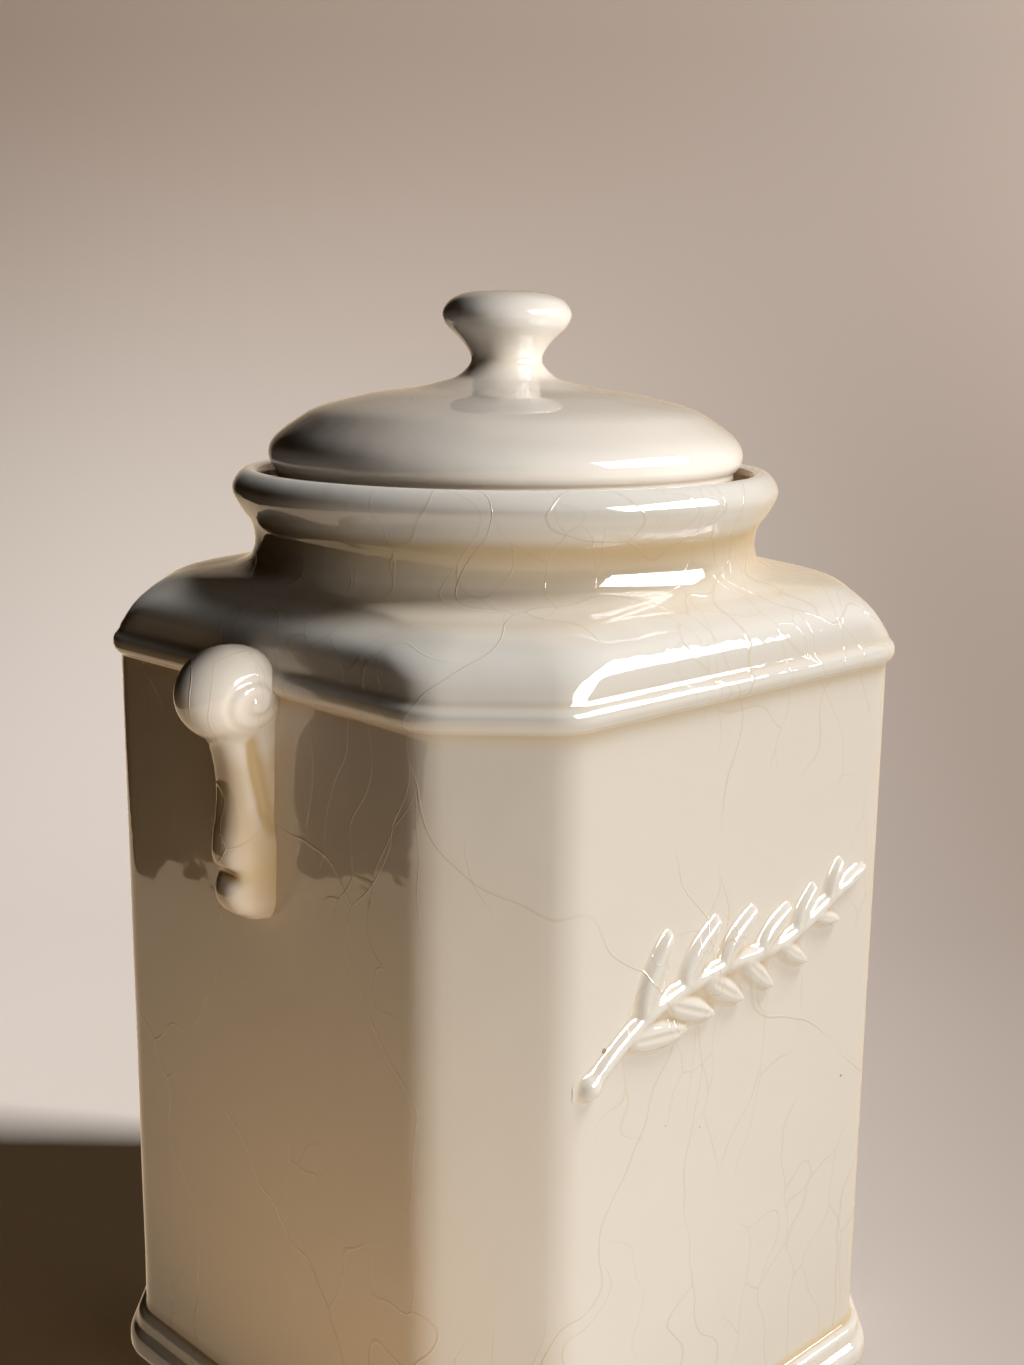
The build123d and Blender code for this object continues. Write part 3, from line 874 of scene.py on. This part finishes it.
# Glaze: a crazed cream coat over pale clay, browner where it pools and where shade is painted in
glazeLook = {
    "cream": (0.80, 0.73, 0.645, 1),
    "thin": (0.84, 0.79, 0.72, 1),
    # also the colour of painted shade on the lug stems and in the cove under the rim
    "pool": (0.64, 0.475, 0.265, 1),
    # dirt with painted shade, for the gap at the lid's seat
    "seatDirtAndShade": (0.32, 0.225, 0.135, 1),
    "clay": (0.66, 0.52, 0.38, 1),
    # how hollow the surface is where a tone begins and where it is full
    "tones": (("thin", 0.02, -0.55), ("pool", 0.06, 0.95), ("seatDirtAndShade", 1.2, 1.7),
              ("clay", -1.2, -1.7)),
    "speck": (0.30, 0.17, 0.07, 1),
    "speckScale": 90.0,
    "speckSize": 0.055,
    "speckShade": 0.75,
    # flattening, scale, width and sparseness of the two nets of crazing
    "crazing": {"Long": (0.42, 21.0, 0.0042, 0.42), "Fine": (0.26, 75.0, 0.014, 0.54)},
    "crazeWander": 0.042,
    "crazeShade": (0.26, 0.20),
    # heights in metres: long and fine crazing, specks, slow waves and orange peel
    "crazeRise": (0.00006, 0.00003),
    "speckRise": -0.00010,
    "waveRise": (0.00026, 0.000006),
    "roughness": 0.045,
    "indexOfRefraction": 1.65,
}


def newGroup(name, inputs, outputs):
    # Starts a node group, given the kind of each of its sockets.
    group = bpy.data.node_groups.new(name, "ShaderNodeTree")
    for way, sockets in (("INPUT", inputs), ("OUTPUT", outputs)):
        for label, kind in sockets.items():
            group.interface.new_socket(label, in_out=way, socket_type="NodeSocket" + kind)
    return group, group.nodes.new("NodeGroupInput"), group.nodes.new("NodeGroupOutput")


def place(tree, kind, links=None, **settings):
    # Adds a node with its settings; links gives a socket's name or number and its source or value.
    node = tree.nodes.new(kind)
    for key, value in settings.items():
        setattr(node, key, value)
    for key, source in (links or {}).items():
        socket = node.inputs[key]
        if isinstance(source, bpy.types.NodeSocket):
            tree.links.new(source, socket)
        else:
            socket.default_value = source
    return node


def math(tree, operation, *values):
    return place(tree, "ShaderNodeMath", dict(enumerate(values)), operation=operation).outputs[0]


def ramp(tree, value, low, high, start=0.0, end=1.0):
    # Runs smoothly from start to end as the value goes from low to high.
    node = place(tree, "ShaderNodeMapRange", {"Value": value, "From Min": low, "From Max": high,
                                              "To Min": start, "To Max": end},
                 interpolation_type="SMOOTHSTEP")
    return node.outputs["Result"]


def weighted(tree, values, shares):
    # The sum of two values, each times its share.
    return math(tree, "MULTIPLY_ADD", values[0], shares[0],
                math(tree, "MULTIPLY", values[1], shares[1]))


def vectorMath(tree, operation, first, second):
    return place(tree, "ShaderNodeVectorMath", {0: first, 1: second}, operation=operation).outputs[0]


def mixed(tree, share, first, second):
    node = place(tree, "ShaderNodeMix", {0: share, 6: first, 7: second}, data_type="RGBA")
    return node.outputs[2]


def cloudy(tree, vector, scale, detail):
    return place(tree, "ShaderNodeTexNoise", {"Vector": vector, "Scale": scale, "Detail": detail})


def newMaterial(name):
    material = bpy.data.materials.new(name)
    material.use_nodes = True
    tree = material.node_tree
    spot = place(tree, "ShaderNodeTexCoord").outputs["Object"]
    return material, tree, tree.nodes["Principled BSDF"], spot


def crazeGroup():
    # Long wandering hairlines and a finer net between them, which come and go over the surface.
    group, start, end = newGroup("crazeNet", {"Vector": "Vector", "Amount": "Float"},
                                 {"Long": "Float", "Fine": "Float"})
    vector = start.outputs["Vector"]
    wander = cloudy(group, vector, 21.0, 2.0).outputs["Color"]
    centred = vectorMath(group, "SUBTRACT", wander, (0.5, 0.5, 0.5))
    pushed = vectorMath(group, "MULTIPLY", centred, (glazeLook["crazeWander"],) * 3)
    moved = vectorMath(group, "ADD", vector, pushed)
    presence = cloudy(group, vector, 17.0, 1.0).outputs["Fac"]
    for label, (flattening, scale, width, sparse) in glazeLook["crazing"].items():
        shaped = vectorMath(group, "MULTIPLY", moved, (1.0, 1.0, flattening))
        cells = place(group, "ShaderNodeTexVoronoi", {"Vector": shaped, "Scale": scale},
                      feature="DISTANCE_TO_EDGE")
        lines = ramp(group, cells.outputs["Distance"], width * 0.25, width, 1.0, 0.0)
        shown = ramp(group, presence, sparse - 0.05, sparse + 0.03)
        shown = math(group, "MULTIPLY", shown, start.outputs["Amount"])
        group.links.new(math(group, "MULTIPLY", lines, shown), end.inputs[label])
    return group


def speckGroup():
    # A few pinholes and iron specks, in about one cell in five.
    group, start, end = newGroup("glazeSpecks", {"Vector": "Vector"}, {"Specks": "Float"})
    cells = place(group, "ShaderNodeTexVoronoi", {"Vector": start.outputs["Vector"],
                                                  "Scale": glazeLook["speckScale"]})
    chance = place(group, "ShaderNodeSeparateColor", {0: cells.outputs["Color"]})
    size = ramp(group, chance.outputs[0], 0.80, 1.0, 0.0, glazeLook["speckSize"])
    spots = math(group, "LESS_THAN", cells.outputs["Distance"], size)
    group.links.new(spots, end.inputs["Specks"])
    return group


def toneGroup():
    # Cream, paler where the glaze is thin on a ridge and brown where it is deep in a crease or where
    # shade is painted in.
    group, start, end = newGroup("glazeTone", {"Vector": "Vector", "PoolAndShade": "Float"},
                                 {"Color": "Color"})
    clouds = cloudy(group, start.outputs["Vector"], 26.0, 3.0).outputs["Fac"]
    uneven = math(group, "MULTIPLY_ADD", math(group, "SUBTRACT", clouds, 0.5), 0.5,
                  start.outputs["PoolAndShade"])
    tone = glazeLook["cream"]
    for label, begin, full in glazeLook["tones"]:
        tone = mixed(group, ramp(group, uneven, begin, full), tone, glazeLook[label])
    group.links.new(tone, end.inputs["Color"])
    return group


def waveGroup():
    # Height of the glaze's own slow waves and fine orange peel.
    group, start, end = newGroup("glazeWaves", {"Vector": "Vector"}, {"Height": "Float"})
    heights = [cloudy(group, start.outputs["Vector"], scale, 2.0).outputs["Fac"]
               for scale in (70.0, 330.0)]
    group.links.new(weighted(group, heights, glazeLook["waveRise"]), end.inputs["Height"])
    return group


def makeGlaze():
    material, tree, shader, spot = newMaterial("creamGlaze")
    hollow, amount = (place(tree, "ShaderNodeAttribute", attribute_name=name).outputs["Fac"]
                      for name in ("poolAndShade", "crazing"))
    tone, craze, specks, waves = (
        place(tree, "ShaderNodeGroup", {"Vector": spot, **links}, node_tree=group)
        for group, links in ((toneGroup(), {"PoolAndShade": hollow}), (crazeGroup(), {"Amount": amount}),
                             (speckGroup(), {}), (waveGroup(), {})))
    nets = (craze.outputs["Long"], craze.outputs["Fine"])
    crazed = mixed(tree, weighted(tree, nets, glazeLook["crazeShade"]), tone.outputs[0],
                   glazeLook["pool"])
    shade = math(tree, "MULTIPLY", specks.outputs[0], glazeLook["speckShade"])
    tree.links.new(mixed(tree, shade, crazed, glazeLook["speck"]), shader.inputs["Base Color"])
    raised = weighted(tree, nets, glazeLook["crazeRise"])
    pitted = math(tree, "MULTIPLY_ADD", specks.outputs[0], glazeLook["speckRise"], raised)
    height = math(tree, "ADD", waves.outputs[0], pitted)
    bump = place(tree, "ShaderNodeBump", {"Height": height, "Strength": 1.0, "Distance": 1.0})
    tree.links.new(bump.outputs[0], shader.inputs["Normal"])
    shader.inputs["Roughness"].default_value = glazeLook["roughness"]
    shader.inputs["IOR"].default_value = glazeLook["indexOfRefraction"]
    return material


glaze = makeGlaze()
pieces = (jarBody, lidDome, lidFlange, lugLeft, lugRight, leafSprig)
for piece in pieces:
    piece.data.materials.append(glaze)
for piece in (jarBody, lugLeft, lugRight, leafSprig):
    writeValues(piece, "crazing", np.ones(len(piece.data.vertices)))
print("glaze made")


# Stage: a pale sheet that sweeps up behind the jar, with daylight from a window on the right
stage = {
    # its colour low and high, at the left and at the right, with painted light and shade: brighter
    # at the left, darker at the right
    "sheetShadedTones": (((0.74, 0.69, 0.65, 1), (0.22, 0.18, 0.155, 1)),
                   ((0.47, 0.38, 0.315, 1), (0.36, 0.305, 0.265, 1))),
    "sheetBounce": (0.05, 0.04, 0.03, 1),  # its colour in the soft light it throws back
    # painted reflection: what the glaze mirrors of the sheet is a glow of these colours
    "sheetShine": (0.85, 0.64, 0.42, 1),  # its light as the glaze mirrors it
    "sheetShineHigh": (0.42, 0.32, 0.23, 1),
    "sheetRoughness": 0.9,
    "sheetSpecular": 0.2,
    # the sheet's start, wall, bend and top, in metres from the jar
    "near": -3.0,
    "depth": 0.75,
    "bend": 0.45,
    "top": 3.0,
    "left": 0.482,  # its left edge, past which the room is dark
    "right": 3.0,
    # where its painted light and shade change across and up, and where its painted reflection in the
    # glaze fades
    "toneAcross": (-0.28, 0.34),
    "toneUp": (0.0, 0.5),
    "shineUp": (0.02, 0.16),
    "shineEdge": -0.10,
    "aim": 0.17,  # height on the jar's axis that the lamps face
    "worldColor": (0.95, 0.54, 0.26, 1),
    "worldStrength": 0.007,
}
# heading in degrees from +X, rise in degrees, distance in metres, width and height in metres,
# level on a surface that faces the lamp, tint and what it lights
lamps = {
    "key": (-91, 4, 1.5, (0.6, 0.5), 0.55, (0.97, 0.935, 0.87), "body"),
    "high": (-42, 60, 1.5, (0.6, 0.5), 0.86, (0.93, 0.945, 0.955), "body"),
    "lidKey": (-76, 22, 1.5, (0.6, 0.5), 1.40, (0.97, 0.965, 0.955), "lid"),
    "lugKey": (-88, 14, 1.5, (0.6, 0.5), 1.12, (1.0, 0.96, 0.90), "lugs"),
    "back": (60, 12, 1.5, (0.9, 0.7), 0.05, (1.0, 0.92, 0.82), "jar"),
    "sheet": (-47, 27, 2.0, (0.30, 0.30), 2.5, (1.0, 0.965, 0.935), "sheet"),
    "sheetFill": (150, 50, 2.0, (0.3, 0.3), 0.055, (1.0, 0.60, 0.24), "sheet"),
}
# patches of the table that throw light up at the jar: middle, size, level and tint
patches = {
    "patchLeft": ((-0.17, -0.07), (0.12, 0.20), 1.35, (1.0, 0.63, 0.29)),
    "patchFront": ((-0.09, -0.21), (0.24, 0.18), 0.8, (0.86, 0.95, 1.0)),
}
windowLook = {"heading": -63, "rise": 24, "distance": 1.25, "size": (1.14, 0.58), "level": 25.0}


def makeSheet():
    heading = radians(camera["heading"])
    ahead = np.array((cos(heading), sin(heading)))
    across = np.array((ahead[1], -ahead[0]))
    bend, depth = stage["bend"], stage["depth"]
    line = [(stage["near"], 0.0), (depth - bend, 0.0)]
    line += [(depth - bend + bend * sin(a), bend - bend * cos(a))
             for a in np.radians(np.linspace(5, 90, 18))]
    line += [(depth, stage["top"])]
    points = [(*(ahead * far + across * side), high)
              for side in (-stage["left"], stage["right"]) for far, high in line]
    count = len(line)
    faces = [(k, count + k, count + k + 1, k + 1) for k in range(count - 1)]
    sheet = addMesh("sheet", points, faces)
    material, tree, shader, spot = newMaterial("paleSheet")
    sideways = place(tree, "ShaderNodeVectorMath", {0: spot, 1: (*across, 0.0)},
                     operation="DOT_PRODUCT").outputs["Value"]
    height = place(tree, "ShaderNodeSeparateXYZ", {0: spot}).outputs[2]
    # painted light and shade on the sheet, brighter at the left
    toRight = ramp(tree, sideways, *stage["toneAcross"])
    upwards = ramp(tree, height, *stage["toneUp"])
    low, high = (mixed(tree, toRight, *tones) for tones in stage["sheetShadedTones"])
    path = place(tree, "ShaderNodeLightPath")
    bounced = mixed(tree, path.outputs["Is Diffuse Ray"], mixed(tree, upwards, low, high),
                    stage["sheetBounce"])
    tree.links.new(bounced, shader.inputs["Base Color"])
    shader.inputs["Roughness"].default_value = stage["sheetRoughness"]
    shader.inputs["Specular IOR Level"].default_value = stage["sheetSpecular"]
    # painted reflection: in the glaze's reflections the sheet glows with colours of its own, dimmer
    # high up
    shine = mixed(tree, upwards, stage["sheetShine"], stage["sheetShineHigh"])
    # high up, this painted reflection fades towards the sheet's left edge
    aloft = ramp(tree, height, *stage["shineUp"])
    nearEdge = ramp(tree, sideways, -stage["left"], stage["shineEdge"], 1.0, 0.0)
    level = math(tree, "MULTIPLY_ADD", math(tree, "MULTIPLY", aloft, nearEdge), -1.0, 1.0)
    glow = place(tree, "ShaderNodeEmission", {"Color": shine, "Strength": level})
    mirrored = math(tree, "MAXIMUM", path.outputs["Is Glossy Ray"],
                    path.outputs["Is Transmission Ray"])
    either = place(tree, "ShaderNodeMixShader", {0: mirrored, 1: shader.outputs[0],
                                                 2: glow.outputs[0]})
    tree.links.new(either.outputs[0], tree.nodes["Material Output"].inputs["Surface"])
    sheet.data.materials.append(material)
    return sheet


def aim(lamp, heading, rise, distance):
    a, e = radians(heading), radians(rise)
    away = Vector((cos(a) * cos(e), sin(a) * cos(e), sin(e)))
    lamp.location = Vector((0, 0, stage["aim"])) + away * distance
    lamp.rotation_mode = "QUATERNION"
    lamp.rotation_quaternion = (-away).to_track_quat("-Z", "Y")


def makeLamp(name, size, power, tint):
    data = bpy.data.lights.new(name, "AREA")
    data.shape = "RECTANGLE"
    data.size, data.size_y = size
    data.energy = power
    data.color = tint
    lamp = bpy.data.objects.new(name, data)
    lamp.visible_camera = lamp.visible_glossy = False
    scene.collection.objects.link(lamp)
    return lamp


def lightOnly(lamp, objects):
    chosen = bpy.data.collections.new(lamp.name + "Lights")
    for thing in objects:
        chosen.objects.link(thing)
    lamp.light_linking.receiver_collection = chosen


sheet = makeSheet()
lit = {"jar": pieces, "body": (jarBody, leafSprig), "lid": (lidDome, lidFlange),
       "lugs": (lugLeft, lugRight), "sheet": (sheet,)}
for name, (heading, rise, distance, size, level, tint, things) in lamps.items():
    lamp = makeLamp(name, size, level * pi**2 * distance**2, tint)
    aim(lamp, heading, rise, distance)
    lightOnly(lamp, lit[things])
for name, ((x, y), (width, depth), level, tint) in patches.items():
    lamp = makeLamp(name, (width, depth), level * pi * width * depth, tint)
    lamp.matrix_world = Matrix.Translation((x, y, 0.003)) @ Matrix.Rotation(pi, 4, "X")
    lightOnly(lamp, pieces)
width, height = windowLook["size"]
window = makeLamp("window", (width, height), windowLook["level"] * pi * width * height, (1, 1, 1))
aim(window, windowLook["heading"], windowLook["rise"], windowLook["distance"])
window.visible_diffuse, window.visible_glossy = False, True
world = bpy.data.worlds.new("room")
world.use_nodes = True
scene.world = world
background = world.node_tree.nodes["Background"]
background.inputs["Color"].default_value = stage["worldColor"]
background.inputs["Strength"].default_value = stage["worldStrength"]
print("stage and lamps made")
